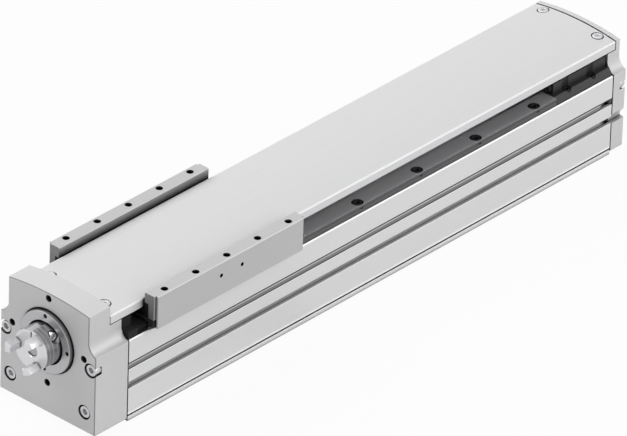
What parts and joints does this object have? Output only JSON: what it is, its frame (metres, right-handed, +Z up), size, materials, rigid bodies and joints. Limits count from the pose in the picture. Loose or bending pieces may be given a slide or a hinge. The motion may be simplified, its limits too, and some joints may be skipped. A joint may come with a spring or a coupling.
{
  "type": "ball screw linear axis",
  "caption": "Enclosed linear axis with a ball screw, a slide that straddles a fixed crowned cover, guide rails, end caps and a claw coupling hub.",
  "frame": {"origin": "bottom centre of the whole axis: X midway between the coupling claws' tips and the end cap's outer face, Y midway across, Z on the profile's underside", "axes": "+X from the drive end to the far end along the axis, +Y to the left seen from the drive end, +Z up"},
  "size_m": [0.806, 0.1426, 0.1366],
  "materials": {
    "profile_aluminium": "matt anodised, natural",
    "cap_aluminium": "matt anodised, natural",
    "cover_aluminium": "matt anodised, natural",
    "slide_aluminium": "matt anodised, natural",
    "turned_aluminium": "fine turned",
    "hub_aluminium": "machined",
    "bright_screws": "zinc plated",
    "black_steel": "black oxide",
    "ground_steel": "ground",
    "bearing_steel": "ground",
    "rail_steel": "ground, dark",
    "carriage_steel": "ground",
    "black_plastic": "matt moulded",
    "strip_plastic": "matt extruded",
    "buffer_rubber": "matt"
  },
  "bodies": {
    "base": {"base_profile": "profile_aluminium", "drive_cap": "cap_aluminium", "end_cap": "cap_aluminium", "top_cover": "cover_aluminium", "cover_screws": "bright_screws", "drive_cap_screws": "bright_screws", "end_cap_screws": "bright_screws", "bearing_cover": "turned_aluminium", "drive_bearing_outer_rings": "bearing_steel", "far_bearing_outer_ring": "bearing_steel", "left_guide_rail": "rail_steel", "left_rail_screws": "black_steel", "left_slot_strip": "strip_plastic", "left_rail_stop": "black_plastic", "left_rail_stop_screws": "black_steel", "left_rail_stop_buffer": "buffer_rubber", "left_cap_buffer": "buffer_rubber", "right_guide_rail": "rail_steel", "right_rail_screws": "black_steel", "right_slot_strip": "strip_plastic", "right_rail_stop": "black_plastic", "right_rail_stop_screws": "black_steel", "right_rail_stop_buffer": "buffer_rubber", "right_cap_buffer": "buffer_rubber"},
    "slide": {"slide_body": "slide_aluminium", "carriage_screws": "black_steel", "nut_block": "slide_aluminium", "ball_nut": "ground_steel", "nut_screws": "black_steel", "nut_block_screws": "black_steel", "left_front_carriage": "carriage_steel", "left_rear_carriage": "carriage_steel", "left_carriage_scrapers": "carriage_steel", "right_front_carriage": "carriage_steel", "right_rear_carriage": "carriage_steel", "right_carriage_scrapers": "carriage_steel"},
    "spindle": {"ball_screw": "ground_steel", "coupling_hub": "hub_aluminium", "clamp_screw": "black_steel", "drive_bearing_inner_rings": "bearing_steel", "far_bearing_inner_ring": "bearing_steel", "bearing_lock_nut": "black_steel", "circlip": "black_steel"}
  },
  "joints": [
    {"name": "slide_travel", "type": "slide", "parent": "base", "child": "slide", "axis": [1, 0, 0], "range_m": [-0.012, 0.38]},
    {"name": "spindle_spin", "type": "hinge", "parent": "base", "child": "spindle", "pos_m": [-0.06445, 0, 0.0837], "axis": [1, 0, 0], "range_deg": [-13750, 450]}
  ],
  "couplings": [
    {"joint": "spindle_spin", "follows": "slide_travel", "rad_per_m": -628.32}
  ]
}
